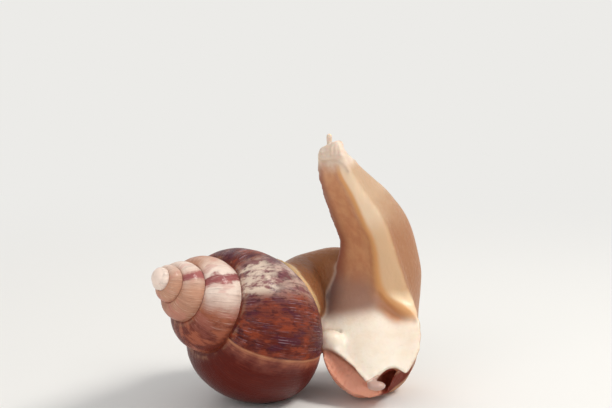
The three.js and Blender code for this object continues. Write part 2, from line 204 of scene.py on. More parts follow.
def roundness(turn, across):
    """How far a whorl bulges between its seams, and is pinched at them."""
    swell = np.sin(math.pi * np.clip(across, 0, 1)) ** 0.55
    seamed = (WHORL_BULGE + SEAM_PINCH) * swell - SEAM_PINCH
    fading = np.clip((across - 0.5) / 0.9, 0, 1)
    open_below = np.where(across < 0.5, seamed, WHORL_BULGE * (1 - fading * fading))
    covered = np.clip((LIP_TURN - 1 - turn) / 0.06, 0, 1)
    return open_below + (seamed - open_below) * covered

def relief(turn, across):
    """How far the shell's surface stands out from its plain form, in mm."""
    lines = np.interp(growth_line(turn, across), fine_lines, line_relief)
    return (lines + roundness(turn, across)) * np.clip(growth(turn)[0], 0.15, 1)

print(len(turns), "rings,", round(grown_length(LIP_TURN)), "mm of growth in all")

# %% Shape the shell
seam_tops = np.array([seams(t)[0] for t in turns])

def ring_angles(top):
    """Angles round one oval: many where it shows, few inside the whorl before."""
    start = top + SHOWN_ABOVE
    shown = np.linspace(start, SHOWN_TO, SIDES_SHOWN)
    hidden = np.linspace(SHOWN_TO, start - TURN, SIDES_HIDDEN + 2)[1:-1]
    return np.concatenate([shown, hidden])

def tube_ring(turn, top, inset, turn_shift=0.0):
    """Points of one ring, its share of the way from seam to seam, and its turn."""
    a = ring_angles(top)
    across = (top - a) / (seam_above - seam_below)
    turn_here = np.full(a.shape, turn + turn_shift)
    radius, height = oval(turn_here, a, inset - relief(turn_here, across))
    return shell_points(turn_here, radius, height), across, turn_here

def bridge(rows, columns):
    """Faces of a tube: every ring is joined to the next."""
    k = np.arange(columns)
    a = np.arange(rows - 1)[:, None] * columns + k
    b = np.arange(rows - 1)[:, None] * columns + (k + 1) % columns
    return np.stack([a, b, b + columns, a + columns], -1).reshape(-1, 4)

def capped(rows, columns):
    """Faces of a tube of rings, closed at both ends by strips across."""
    faces = bridge(rows, columns).tolist()
    half = columns // 2
    k = np.arange(1, half - 1)
    for base, flip in ((0, 1), ((rows - 1) * columns, -1)):
        strip = np.stack([base + k, base + k + 1, base + columns - k - 1, base + columns - k], -1)
        tips = np.array([(0, 1, columns - 1), (half + 1, half, half - 1)]) + base
        faces += strip[:, ::flip].tolist() + tips[:, ::flip].tolist()
    return faces

def stand(name, data):
    """Puts an object with that mesh, lamp or camera into the scene."""
    thing = bpy.data.objects.new(name, data)
    bpy.context.scene.collection.objects.link(thing)
    return thing

def keep_values(mesh, values):
    """Keeps one value per point of the mesh under each name."""
    for key, numbers in values.items():
        mesh.attributes.new(key, "FLOAT", "POINT").data.foreach_set("value", numbers.astype(np.float32))

def mesh_object(name, points, faces, values):
    """A smooth mesh from points in mm, with its values kept."""
    mesh = bpy.data.meshes.new(name)
    mesh.from_pydata((points * MM).tolist(), [], faces)
    keep_values(mesh, values)
    mesh.polygons.foreach_set("use_smooth", [True] * len(mesh.polygons))
    mesh.update()
    return stand(name, mesh)

# The lip's section: how far through the wall each ring lies, and how far ahead, in mm.
LIP_ROUNDING = ((0.35, 0.3), (0.65, 0.5), (1.0, 0.3), (1.0, 0.0))
INNER_TURNS = 0.16
INNER_RINGS = 30

rings, acrosses, turn_values, insides = [], [], [], []

def keep_ring(turn, top, inset, inside, turn_shift=0.0):
    """Adds a ring to the shell's grid; inside is 0 on the outer face, 1 in the mouth."""
    points, across, turn_here = tube_ring(turn, top, inset, turn_shift)
    rings.append(points)
    acrosses.append(across)
    turn_values.append(turn_here)
    insides.append(np.full(len(across), float(inside)))

for turn, top in zip(turns, seam_tops):
    keep_ring(turn, top, 0.0, 0)
lip_top = seam_tops[-1]
lip_radius = growth(LIP_TURN)[0] * (WHORL_RADIUS + OVAL_HALF_WIDTH)
for inward, ahead in LIP_ROUNDING:
    keep_ring(LIP_TURN, lip_top, inward * WALL, 0.5 + 0.5 * inward, ahead / (lip_radius * TURN))
for k in range(1, INNER_RINGS + 1):
    keep_ring(LIP_TURN - INNER_TURNS * k / INNER_RINGS, lip_top, WALL, 1)
shell_verts = np.concatenate(rings)
shell_faces = [face[::-1] for face in capped(len(rings), len(acrosses[0]))]

# %% [markdown]
# The tube starts in a small rounded bulb, the shell that the snail hatched
# with. Tube and bulb are each closed at both ends. The numbers above stand in
# their own place, so the whole shell is now moved sideways until its box is
# centred on the solid shell's box as seen from above.

# %% Set the shell on the frame
BULB_HEIGHT = 4.9
BULB_HALF_LENGTH = 2.9
BULB_RADIUS = 3.15
BULB_RINGS = 20
BULB_SIDES = 40
BULB_ACROSS = 0.3
BULB_POLE_GAP = 0.02

latitudes = np.linspace(BULB_POLE_GAP, math.pi - BULB_POLE_GAP, BULB_RINGS)
longitudes = np.arange(BULB_SIDES) / BULB_SIDES
bulb = shell_points(
    np.tile(longitudes, (BULB_RINGS, 1)),
    np.outer(np.sin(latitudes), np.full(BULB_SIDES, BULB_RADIUS)),
    np.outer(BULB_HEIGHT - BULB_HALF_LENGTH * np.cos(latitudes), np.ones(BULB_SIDES)),
).reshape(-1, 3)
shell_faces += [[k + len(shell_verts) for k in face] for face in capped(BULB_RINGS, BULB_SIDES)]
shell_verts = np.concatenate([shell_verts, bulb])
turn_values.append(np.full(len(bulb), FIRST_TURN))
acrosses.append(np.full(len(bulb), BULB_ACROSS))
insides.append(np.zeros(len(bulb)))
shell_turns = np.concatenate(turn_values)
shell_across = np.concatenate(acrosses)

box_low, box_high = (np.array(corner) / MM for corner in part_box("shell"))
own_low, own_high = shell_verts.min(0), shell_verts.max(0)
SHIFT = np.array([
    (box_low[0] + box_high[0] - own_low[0] - own_high[0]) / 2,
    (box_low[1] + box_high[1] - own_low[1] - own_high[1]) / 2,
    0,
])
print("moved by", SHIFT.round(2), "mm; taller than the solid by", round(own_high[2] - box_high[2], 2))
shell_verts = shell_verts + SHIFT
shell_verts[:, 2] = np.maximum(shell_verts[:, 2], 0)
shell = mesh_object("shell_surface", shell_verts, shell_faces, {
    "turn": shell_turns,
    "across": shell_across,
    "line": growth_line(shell_turns, shell_across),
    "inside": np.concatenate(insides),
})
print("shell:", len(shell.data.polygons), "faces")
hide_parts("shell")
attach(shell, "root")

# %% [markdown]
# The soft body is one muscle, so it gets one skin. It is built as a modeller
# in clay would: a few rounded masses first, which are the long sole, the back,
# the head, the stalk that comes out of the shell, and the mantle's collar in
# the shell's mouth. Then they are fused, smoothed, and worked with small tools.
# The masses follow the same stations as the solids, with many more rings.

# %% Stations of the body, in mm
# x, y, z of the sole's middle, the way it faces, half-widths of sole and back,
# depth of the back, and its lean.
BODY = np.array([
    (26.2, -19.8, 6.4, -4, 6.5, 5.0, 6.5, 0),
    (24.8, -17.6, 10.6, -4, 11.8, 10.5, 12.5, -0.5),
    (23.0, -13.0, 15.2, -2, 14.8, 13.8, 18.0, -1),
    (21.7, -7.4, 19.0, 0, 16.0, 15.0, 22.5, 0),
    (20.9, -1.3, 23.0, 4, 16.2, 15.4, 24.5, 1.2),
    (20.3, 3.2, 28.2, 12, 15.4, 14.4, 24.0, 3.2),
    (19.9, 5.5, 33.6, 26, 14.4, 13.0, 20.0, 5.0),
    (19.8, 6.0, 39.0, 36, 13.3, 11.8, 18.5, 5.0),
    (18.8, 5.5, 49.3, 44, 11.2, 9.9, 17.0, 3.2),
    (16.1, 4.5, 56.8, 44, 10.5, 9.4, 14.5, 2.8),
    (12.5, 3.0, 64.4, 43, 8.9, 7.8, 11.4, 2.6),
    (9.6, 1.8, 71.2, 42, 7.4, 6.7, 8.4, 1.6),
    (8.1, 1.0, 76.0, 42, 6.3, 5.9, 6.8, 0.8),
    (7.7, 0.8, 79.0, 42, 4.8, 5.3, 6.0, 0.4),
])
FACE, SOLE, BACK, DEPTH, LEAN = range(3, 8)
# The head's own stations: the same, with its bulge forward in the sole's column.
HEAD = np.array([
    (8.9, 1.4, 73.6, 42, -1.5, 6.3, 7.5, 1.2),
    (8.1, 1.0, 76.0, 42, -1.5, 5.9, 6.8, 0.8),
    (7.7, 0.8, 79.2, 42, 1.0, 5.3, 6.0, 0.4),
    (7.9, 1.3, 81.2, 42, 1.4, 4.8, 5.2, 0.2),
    (8.2, 1.9, 82.6, 42, 1.2, 3.8, 4.0, 0),
    (8.4, 2.5, 83.2, 42, 0.7, 2.2, 2.4, 0),
])
SOLE_THICKNESS = 5.0
FULL_MARGIN_WIDTH = 10
STATION_STEP = 0.05
BACK_START = 1.5
LAST = len(BODY) - 1

def along(table, s):
    """Every column of a table of stations, smoothly between its rows."""
    s = np.asarray(s, float)
    i = np.minimum(np.floor(s).astype(int), len(table) - 2)
    t = (s - i)[..., None]
    a, b, c, d = (table[np.clip(i + k, 0, len(table) - 1)] for k in (-1, 0, 1, 2))
    return 0.5 * (2 * b + (c - a) * t + (2 * a - 5 * b + 4 * c - d) * t * t
                  + (3 * b - a - 3 * c + d) * t * t * t)

def unit(vectors):
    return vectors / np.linalg.norm(vectors, axis=-1, keepdims=True)

def tube(centre, side, other, wide, tall, angles):
    """Rings round a line of centres, with half-widths along side and other."""
    return (centre[:, None, :] + side[..., None, :] * (wide * np.cos(angles))[..., None]
            + other[..., None, :] * (tall * np.sin(angles))[..., None])

def body_frame(table, s):
    """Numbers at s, and the directions ahead, out of the sole, and across it."""
    here = along(table, s)
    ahead = unit(along(table, np.minimum(s + STATION_STEP, len(table) - 1))[..., :3]
                 - along(table, np.maximum(s - STATION_STEP, 0))[..., :3])
    face = here[..., FACE] * DEG
    facing = np.stack([-np.sin(face), -np.cos(face), np.zeros_like(face)], -1)
    facing = unit(facing - ahead * (facing * ahead).sum(-1, keepdims=True))
    return here, facing, np.cross(ahead, facing)

def hump(values, middle, reach):
    return np.exp(-(((values - middle) / reach) ** 2))

def wavy(s, scale, seed):
    """Noise between about -1 and 1 for a grid of numbers that vary by row."""
    flat = np.array([noise.noise((v * scale, seed, 2.0)) for v in s.ravel()])
    return flat.reshape(s.shape)

# %% [markdown]
# The sole is a ribbon. Where it is raised it is hollow along its middle, and
# bulges into a long ridge, beyond which its right margin turns away. Towards
# the tail its left margin draws in over a rounded belly, and its hind end is
# arched, so that one looks into a small dark hollow under it. The ribbon's
# section is written as a sum of humps, each with its place, reach and height.

# %% The sole
RING_POINTS = 128
SOLE_ROWS = 300
SEAT_ENDS = (4.2, 5.6)
SEAT_DIPS = 0.95
SEAT_DIP_AT = (0.1, 0.6)
RIDGE_RAISED = 0.55
RIDGE_SWING = 0.42
RIDGE_SWINGS = (3.9, 5.7)
RIDGE_WAVE = 0.05
RIDGE_HEIGHT = ((4.0, 0.0), (4.6, 1.4), (6.6, 1.7), (9.0, 1.3), (11.5, 0.8), (13.0, 0.0))
RIDGE_REACH = 0.30
LEFT_TURN = 0.6
LEFT_FLARE = 2.9
LEFT_FLARE_AT = (4.8, 1.1)
EDGE_DROP = 2.2
SEAT_ROLL = (0.9, 0.2)
SEAT_PILLOW = 0.7
TUCK_START = 3.6
TUCK_RATE = 1.1
TUCK_SHARE = 0.62
RIGHT_TUCK = ((1.0, 0.31), (1.2, 0.23), (1.5, 0.12), (1.9, 0.05), (2.4, 0.02), (3.2, 0.0))
THIN_EDGE = 0.55
FLAP_MIDDLE = 6.3
FLAP_REACH = 1.5
FLAP_OUT = 0.3

def ease(values, low, high):
    """0 below low, 1 above high, and smooth in between."""
    t = np.clip((values - low) / (high - low), 0, 1)
    return t * t * (3 - 2 * t)

def hind_end(u):
    """Where the sole ends behind, in stations, for each share across it."""
    corner = np.clip((u - 0.75) / 0.25, 0, 1) ** 2
    return 1.2 - 0.25 * ease(u, 0.35, 0.9) + 0.30 * hump(u, 0.20, 0.29) + 0.12 * corner

def ridge_at(s):
    """The share across the sole at which its ridge runs."""
    swing = RIDGE_SWING * (1 - ease(s, *RIDGE_SWINGS)) - 0.08 * hump(s, 6.8, 1.2)
    return RIDGE_RAISED + swing + RIDGE_WAVE * np.sin(2.6 * s) * ease(s, 6.5, 8.5)

def lifted(s, u):
    """The station, later towards the right, where the seat gives way lower down."""
    return s + SEAT_DIPS * ease(u, *SEAT_DIP_AT)

def sole_rise(s, u):
    """How far the sole stands out at a share across, in mm, before it is scaled."""
    ridge = ridge_at(s)
    beyond = np.clip((u - ridge) / (1 - ridge), 0, 1)
    raised = (np.interp(lifted(s, u), *zip(*RIDGE_HEIGHT)) * hump(u, ridge, RIDGE_REACH)
              - LEFT_TURN * np.clip(-u, 0, 1) ** 2 - EDGE_DROP * beyond ** 1.4)
    seat = (SEAT_ROLL[0] * hump(u, -0.92, 0.12) + SEAT_ROLL[1] * hump(u, 0.85, 0.25)
            + SEAT_PILLOW * hump(u, 0.0, 0.45))
    share = ease(lifted(s, u), *SEAT_ENDS)
    return raised * share + seat * (1 - share)

def margins(here, s, u):
    """The straight line between the sole's two margins, at a share across."""
    size = np.minimum(1, here[..., SOLE] / FULL_MARGIN_WIDTH)
    return (sole_rise(s, -1.0) * (1 - u) + sole_rise(s, 1.0) * (1 + u)) / 2 * size

def sole_point(s, u, face_side):
    """Points on the ribbon's outer face (face_side 1) or inner face (-1)."""
    here, facing, across = body_frame(BODY, s)
    size = np.minimum(1, here[..., SOLE] / FULL_MARGIN_WIDTH)
    bulge = np.sqrt(np.maximum(0, 1 - u * u))
    tuck = TUCK_SHARE * (1 - np.exp(-np.maximum(0, TUCK_START - s) / TUCK_RATE)) * np.clip(-u, 0, 1)
    right_tuck = np.interp(s, *zip(*RIGHT_TUCK)) * np.clip(u, 0, 1)
    wide = here[..., SOLE] * u * (1 - tuck - right_tuck)
    outer = sole_rise(s, u) * size
    thick = SOLE_THICKNESS * (THIN_EDGE + (1 - THIN_EDGE) * ease(s, 0.8, 3.0))
    inner = margins(here, s, u) - thick * size * bulge ** 0.8
    rise = np.where(face_side > 0, outer, inner)
    rim = np.abs(u) ** 8
    flap = FLAP_OUT * hump(s, FLAP_MIDDLE, FLAP_REACH) * np.clip(u, 0, 1) ** 6
    ripple = wavy(s + 7.0 * (u > 0), 2.1, 5.0) * rim
    wide = wide + flap + 0.30 * ripple - LEFT_FLARE * hump(s, *LEFT_FLARE_AT) * np.clip(-u, 0, 1) ** 2
    rise = rise + 0.5 * flap + 0.25 * wavy(s + 3.0 * (u > 0), 3.2, 9.0) * rim
    return here[..., :3] + across * wide[..., None] + facing * rise[..., None]

masses = []
PLAIN_FLESH = {"sole": 0.0, "beside": 1.0, "right": 0.0, "raised": 0.0, "belly": 0.0, "cavity": 0.0,
               "mantle": 0.0, "stalk": 0.0, "knob": 0.0}

def add_mass(points, **values):
    """Keeps one closed mass: its grid of points, and values for its skin."""
    rows, columns = points.shape[:2]
    kept = {key: np.broadcast_to(value, (rows, columns)).ravel()
            for key, value in (PLAIN_FLESH | values).items()}
    masses.append((points.reshape(-1, 3), capped(rows, columns), kept))

angles = np.arange(RING_POINTS) / RING_POINTS * TURN
u = np.cos(angles)[None, :]
face_side = np.where(np.sin(angles) < -1e-9, 1.0, -1.0)[None, :]
share = np.linspace(0, 1, SOLE_ROWS)[:, None]
s = hind_end(u) + (LAST - hind_end(u)) * share
u, face_side = np.broadcast_to(u, s.shape), np.broadcast_to(face_side, s.shape)
# The inner face behind the arch carries the cavity value, which paints it dark as shade.
behind_arch = (face_side < 0) * ease(2.2 - s, 0, 0.6) * ease(u, -0.3, 0.1) * ease(1 - u, 0.02, 0.2)
add_mass(sole_point(s, u, face_side), station=s, sole=(face_side > 0) * 1.0, beside=u - ridge_at(s),
         right=u, raised=ease(lifted(s, u), 4.5, 5.3), cavity=behind_arch)

# %% The back and the belly
BACK_ROWS = 240
HEAD_ROWS = 90
BELLY_SINK = 4.5
BELLY_OUT = 1.8
LEFT_OUT = 1.5
RIGHT_IN = ((0.3, 0.95), (0.5, 0.90), (0.8, 0.82), (1.2, 0.68), (1.6, 0.46), (2.0, 0.33), (2.6, 0.17),
            (3.2, 0.07), (4.0, 0.0))
BACK_FROM = 0.3
BACK_FRONT = 3.0
CAVITY_DEPTH = 6.0
CAVITY_TOP = 2.3
EDGE_SINK = 1.3
# The hollow's wall, painted dark as shade, lies beyond this x, before this y and below this z.
HOLLOW_SHADE_WALL = (22.5, 0.0, 12.5)
WALL_FADE = 4.0

def back_points(table, s, angles, front, belly=0.0, out=0.0, slim=0.0, hung=False):
    here, facing, across = body_frame(table, s)
    side = np.sin(angles)
    u = np.cos(angles)
    rise = np.where(side < 0, -front * side, -(BACK_START + here[..., DEPTH]) * side)
    rise = rise - belly * np.clip(-u, 0, 1) ** 3
    if hung:
        rise = rise + margins(here, s, u) * (1 - np.maximum(0, side))
        rise = rise - EDGE_SINK * ease(5.0 - s, 0, 1.0) * np.clip(u, 0, 1) ** 2
    wide = here[..., BACK] * u * (1 - slim * (u > 0)) + here[..., LEAN] * np.maximum(0, side)
    wide = wide - out * np.clip(-u, 0, 1) ** 2
    return here[..., :3] + across * wide[..., None] + facing * rise[..., None]

s = np.linspace(BACK_FROM, LAST - 1, BACK_ROWS)[:, None]
belly = BELLY_SINK * np.clip((3.4 - s) / 2.4, 0, 1)
s, grid_angles = np.broadcast_arrays(s, angles[None, :])
hole = ease(CAVITY_TOP - s, 0, 1.0) * hump(np.cos(grid_angles), 0.35, 0.5) * (np.sin(grid_angles) < 0.5)
left_out = BELLY_OUT * hump(s, 2.9, 1.1) + LEFT_OUT * hump(s, 6.8, 1.6)
right_in = np.interp(s, *zip(*RIGHT_IN))
front = -BACK_FRONT - CAVITY_DEPTH * hole
back = back_points(BODY, s, grid_angles, front, belly, left_out, right_in, hung=True)
right_of, before, below = HOLLOW_SHADE_WALL
wall = (ease(back[..., 0] - right_of, 0, WALL_FADE) * ease(before - back[..., 1], 0, WALL_FADE)
        * ease(below - back[..., 2], 0, WALL_FADE))
# The hole and the wall beyond it carry the cavity value, which paints them dark as shade.
add_mass(back, station=s, right=np.cos(grid_angles), belly=ease(4.6 - s, 0, 1.6),
         cavity=np.maximum(hole, wall))

s = np.linspace(0, len(HEAD) - 1, HEAD_ROWS)[:, None]
s, grid_angles = np.broadcast_arrays(s, angles[None, :])
add_mass(back_points(HEAD, s, grid_angles, along(HEAD, s)[..., SOLE]),
         station=LAST - 1.5 + 0.7 * s, right=np.cos(grid_angles))

# %% [markdown]
# The stalk carries the body out of the shell. It starts as wide as the shell's
# mouth, swings behind the sole, and ends rounded inside the back.

# %% The stalk and the mantle's collar
COLLAR_FRONT = 8 / 360
MOUTH_STEP = 3.5 / 360
STALK_START = (9.8, 14.5)
STALK_FINISH = (6.8, 9.5)
STALK_OUT = 6
STALK_SWING = ((0, 16, 34), (10, 20.5, 36), (21, 16.5, 37))
STALK_TURN_RATE = 4
STALK_SETTLED = 0.65
STALK_ROUNDS_FROM = 0.7
STALK_ROUNDS_TO = 1.02
STALK_ROWS = 90
STALK_STEP = 0.01

mouth_turn = LIP_TURN - COLLAR_FRONT + MOUTH_STEP
mouth_across, mouth_along = growth(mouth_turn)
mouth = shell_points(mouth_turn, np.array(WHORL_RADIUS * mouth_across),
                     np.array(WHORL_HEIGHT * mouth_along))
outward = -math.sin(mouth_turn * TURN) * near + math.cos(mouth_turn * TURN) * under
path = np.array([mouth, mouth + outward * STALK_OUT, *STALK_SWING])
t = np.linspace(0, 1, STALK_ROWS)
centre = along(path, t * (len(path) - 1))
heading = unit(along(path, np.minimum(t + STALK_STEP, 1) * (len(path) - 1))
               - along(path, np.maximum(t - STALK_STEP, 0) * (len(path) - 1)))
turned = np.minimum(1, STALK_TURN_RATE * t)[:, None]
heading = unit(outward * (1 - turned) + heading * turned)
settled = ease(t, 0, STALK_SETTLED)[:, None]
upright = axis * (1 - settled) + np.array([0, 0, -1.0]) * settled
upright = unit(upright - heading * (upright * heading).sum(-1, keepdims=True))
level = np.cross(heading, upright)
ending = np.clip((t - STALK_ROUNDS_FROM) / (STALK_ROUNDS_TO - STALK_ROUNDS_FROM), 0, 1)
rounding = np.sqrt(1 - ending ** 2)[:, None]
wide = rounding * (STALK_START[0] * (1 - settled) + STALK_FINISH[0] * settled)
tall = rounding * (STALK_START[1] * (1 - settled) + STALK_FINISH[1] * settled)
stalk = tube(centre, level, upright, wide, tall, angles)
behind_mantle = ease(t, 0.16, 0.22)[:, None]
add_mass(stalk, station=4.5, mantle=1 - behind_mantle,
         stalk=behind_mantle * (1 - ease(t, 0.8, 1.0)[:, None]))

COLLAR = ((-0.09, 0.25), (-0.05, 0.15), (-0.012, 0.12), (-0.004, 0.4), (0.0, 1.0), (0.003, 2.0),
          (0.003, 3.2), (0.0, 4.4), (0.002, 6.0), (0.010, 8.0), (0.016, 10.0))
collar_rings = []
for ahead, inset in COLLAR:
    turn_here = np.full(RING_POINTS, LIP_TURN + ahead)
    radius, height = oval(turn_here, -angles, WALL + inset)
    collar_rings.append(shell_points(turn_here, radius, height))
add_mass(np.array(collar_rings), station=4.0, mantle=1.0)
print(len(masses), "masses,", sum(len(m[0]) for m in masses), "points")

# %% [markdown]
# Along the shell's edge the mantle shows as a cream fold, like a piping. It is
# a soft tube along a few points, thick in the middle and thin at its ends.

# %% The mantle's fold
FOLD = ((-10.5, 8.0, 44.6), (-5.2, 3.0, 42.4), (-2.6, 0.4, 39.4), (-0.4, -0.4, 36.4), (1.5, 0.2, 33.0),
        (3.2, 1.6, 29.8), (4.6, 3.6, 27.0))
FOLD_RADIUS = 1.6
FOLD_ROWS = 70

t = np.linspace(0, 1, FOLD_ROWS)
fold_line = np.array(FOLD)
centre = along(fold_line, t * (len(FOLD) - 1))
heading = unit(np.gradient(centre, axis=0))
side = unit(np.cross(heading, (0.0, 1.0, 0.0)))
other = np.cross(heading, side)
radius = FOLD_RADIUS * (np.sin(math.pi * np.clip(t, 0.02, 0.98)) ** 0.8)[:, None]
add_mass(tube(centre, side, other, radius, radius, angles), station=4.5, mantle=1.0)

# %% [markdown]
# Each feeler is a short stub with a slightly swollen tip. This snail has drawn
# its feelers in: the left upper one to a bump, the right one to half a
# centimetre, and the two lower ones to small knobs beside the mouth.

# %% Feelers and small lobes
FEELERS = (
    # foot, the way it points, its length, and its radius at the root and the tip
    ((10.3, 1.9, 82.0), (0.2, -0.1, 1), 2.6, 2.1, 1.7),
    ((7.6, 4.2, 81.8), (-0.02, 0, 1), 4.7, 1.0, 1.05),
    ((8.6, -0.7, 80.4), (-0.1, -0.75, 0.65), 0.9, 1.2, 1.0),
    ((5.4, 2.0, 80.4), (-0.75, -0.25, 0.6), 0.9, 1.2, 1.0),
)
FEELER_SINK = 1.2
FEELER_WAIST = 0.12
STUB_RINGS = 14
STUB_SIDES = 32
DOME_RINGS = 10
BEAD_RINGS = 20
BEAD_SIDES = 40
POLE_GAP = 0.05
LOBES = (
    # middle, half-sizes, station, raised above the seat, and part of the knob
    ((22.4, -17.4, 8.3), (3.0, 2.1, 1.5), 1.0, 0.0, 1.0),
    ((8.2, -3.0, 19.6), (4.4, 3.6, 3.2), 3.6, 0.0, 0.0),
    ((6.0, 13.6, 24.5), (4.0, 4.0, 6.0), 5.2, 1.0, 0.0),
)

def stub(foot, points_to, length, root, tip):
    """Rings of a round-ended stub that stands on foot."""
    top = unit(np.array(points_to, float))
    side = unit(np.cross(top, (0.0, 1.0, 0.2)))
    other = np.cross(top, side)
    rise = np.linspace(-FEELER_SINK, length - tip, STUB_RINGS)
    share = np.clip((rise + FEELER_SINK) / (length - tip + FEELER_SINK), 0, 1)
    wide = (root + (tip - root) * share) * (1 - FEELER_WAIST * np.sin(np.pi * share))
    dome = np.linspace(0, math.pi / 2 - POLE_GAP, DOME_RINGS)[1:]
    rise = np.concatenate([rise, length - tip + tip * np.sin(dome)])
    wide = np.concatenate([wide, tip * np.cos(dome)])
    turn_round = np.arange(STUB_SIDES) / STUB_SIDES * TURN
    centre = np.array(foot) + top * rise[:, None]
    return tube(centre, side, other, wide[:, None], wide[:, None], turn_round)

def ellipsoid(middle, halves):
    tall = np.linspace(POLE_GAP - math.pi / 2, math.pi / 2 - POLE_GAP, BEAD_RINGS)[:, None]
    turn_round = (np.arange(BEAD_SIDES) / BEAD_SIDES * TURN)[None, :]
    grid = np.stack(np.broadcast_arrays(
        np.cos(tall) * np.cos(turn_round), np.cos(tall) * np.sin(turn_round), np.sin(tall)), -1)
    return np.array(middle) + grid * np.array(halves)

for feeler in FEELERS:
    add_mass(stub(*feeler), station=LAST + 1.5)
for middle, halves, station, raised, knob in LOBES:
    add_mass(ellipsoid(middle, halves), station=station, sole=1.0, beside=-1.0, right=-0.5,
             raised=raised, knob=knob)

# %% [markdown]
# A voxel remesh fuses the masses into one closed skin, as if they were wax
# dipped together, and a few rounds of smoothing soften the joins. Every point
# of the skin then looks up the nearest points of the masses, and takes over
# where on the body it is. Loose crumbs that the remesh leaves are deleted.

# %% Fuse the masses into one skin
SKIN_VOXEL = 0.42
SKIN_SMOOTHING = 4
NEIGHBOURS = 4
VALUE_SMOOTHING = 6

points = np.concatenate([m[0] for m in masses]) + SHIFT
faces = []
start = 0
for mass_points, mass_faces, _ in masses:
    faces += [[k + start for k in face] for face in mass_faces]
    start += len(mass_points)
values = {key: np.concatenate([m[2][key] for m in masses]) for key in masses[0][2]}

def evaluated(thing):
    """A plain copy of the mesh with its modifiers applied."""
    graph = bpy.context.evaluated_depsgraph_get()
    return bpy.data.meshes.new_from_object(thing.evaluated_get(graph))

def without_crumbs(mesh):
    """Deletes the loose crumbs that a remesh can leave beside the main piece."""
    work = bmesh.new()
    work.from_mesh(mesh)
    seen, pieces = set(), []
    for first in work.verts:
        if first in seen:
            continue
        seen.add(first)
        piece, waiting = [], [first]
        while waiting:
            vert = waiting.pop()
            piece.append(vert)
            for edge in vert.link_edges:
                other = edge.other_vert(vert)
                if other not in seen:
                    seen.add(other)
                    waiting.append(other)
        pieces.append(piece)
    pieces.sort(key=len)
    crumbs = [vert for piece in pieces[:-1] for vert in piece]
    bmesh.ops.delete(work, geom=crumbs, context="VERTS")
    work.to_mesh(mesh)
    work.free()
    return len(crumbs)

def coordinates(mesh):
    flat = np.empty(len(mesh.vertices) * 3, np.float32)
    mesh.vertices.foreach_get("co", flat)
    return flat.reshape(-1, 3).astype(float)

def move_points(mesh, points):
    """Moves the mesh's points to places given in mm."""
    mesh.vertices.foreach_set("co", (points * MM).astype(np.float32).ravel())
    mesh.update()

def search_tree(points):
    """Finds the nearest of many points quickly."""
    tree = kdtree.KDTree(len(points))
    for index, point in enumerate(points):
        tree.insert(point, index)
    tree.balance()
    return tree

rough_mesh = bpy.data.meshes.new("rough")
rough_mesh.from_pydata((points * MM).tolist(), [], faces)
rough = stand("rough", rough_mesh)
remesh = rough.modifiers.new("fuse", "REMESH")
remesh.mode = "VOXEL"
remesh.voxel_size = SKIN_VOXEL * MM
remesh.use_smooth_shade = True
smooth = rough.modifiers.new("soften", "SMOOTH")
smooth.factor = 0.5
smooth.iterations = SKIN_SMOOTHING
skin_mesh = evaluated(rough)
bpy.data.objects.remove(rough)
print("crumbs left out:", without_crumbs(skin_mesh), "points")
skin_points = coordinates(skin_mesh) / MM
print("skin:", len(skin_mesh.polygons), "faces from", len(faces))

tree = search_tree(points)
nearest = np.array([[hit[1] for hit in tree.find_n(point, NEIGHBOURS)] for point in skin_points])
skin_values = {key: numbers[nearest].mean(1) for key, numbers in values.items()}

# %% [markdown]
# The last touches are made as with a wooden clay tool. A smoothing pass lets
# the small lobes flow into the sole. Then creases and ridges are drawn along
# lines: every point near a line moves in or out along its normal, and less so
# the further it lies from the line.

# %% Work the skin with small tools
edge_ends = np.empty(len(skin_mesh.edges) * 2, np.int32)
skin_mesh.edges.foreach_get("vertices", edge_ends)
edge_ends = edge_ends.reshape(-1, 2)
neighbour_count = np.bincount(edge_ends.ravel(), minlength=len(skin_points)).astype(float)

def averaged(numbers, weight, rounds):
    """Moves numbers kept on the points towards the mean of their neighbours."""
    shape = (-1,) + (1,) * (numbers.ndim - 1)
    for _ in range(rounds):
        total = np.zeros_like(numbers)
        np.add.at(total, edge_ends[:, 0], numbers[edge_ends[:, 1]])
        np.add.at(total, edge_ends[:, 1], numbers[edge_ends[:, 0]])
        mean = total / neighbour_count.reshape(shape)
        numbers = numbers + (mean - numbers) * np.broadcast_to(weight, len(numbers)).reshape(shape)
    return numbers

def nearness(middle, reach):
    return np.exp(-((np.linalg.norm(skin_points - SHIFT - np.array(middle), axis=1) / reach) ** 2))

SOFTENED = (
    # middle and reach of each place that flows into its surroundings
    ((9.0, -3.0, 19.4), 6.0),
    ((5.5, 9.0, 29.0), 7.0),
    ((4.4, 3.2, 27.6), 3.0),
    ((-4.4, 2.4, 41.6), 3.0),
)
MOST_SOFTENED = 0.9
SOFTENING_ROUNDS = 16
VALUE_WEIGHT = 0.6
softness = sum(nearness(middle, reach) for middle, reach in SOFTENED)
margin = ease(skin_values["right"], 0.78, 0.92) * ease(skin_values["station"], 4.6, 5.6)
softness = np.clip(softness + margin * (skin_values["station"] < LAST), 0, MOST_SOFTENED)
skin_points = averaged(skin_points, softness, SOFTENING_ROUNDS)
skin_values = {key: averaged(numbers, VALUE_WEIGHT, VALUE_SMOOTHING) for key, numbers in skin_values.items()}

SOLE_STROKES = (
    # depth out, reach, and the line as stations and shares across the sole
    (-1.2, 0.9, ((4.35, -0.98), (4.25, -0.82), (4.05, -0.62))),
    (-0.9, 1.3, ((5.6, 0.30), (5.0, 0.42), (4.5, 0.56), (4.1, 0.72), (3.9, 0.86))),
    (-0.5, 0.8, ((1.35, -0.45), (1.25, -0.25), (1.25, -0.05))),
)
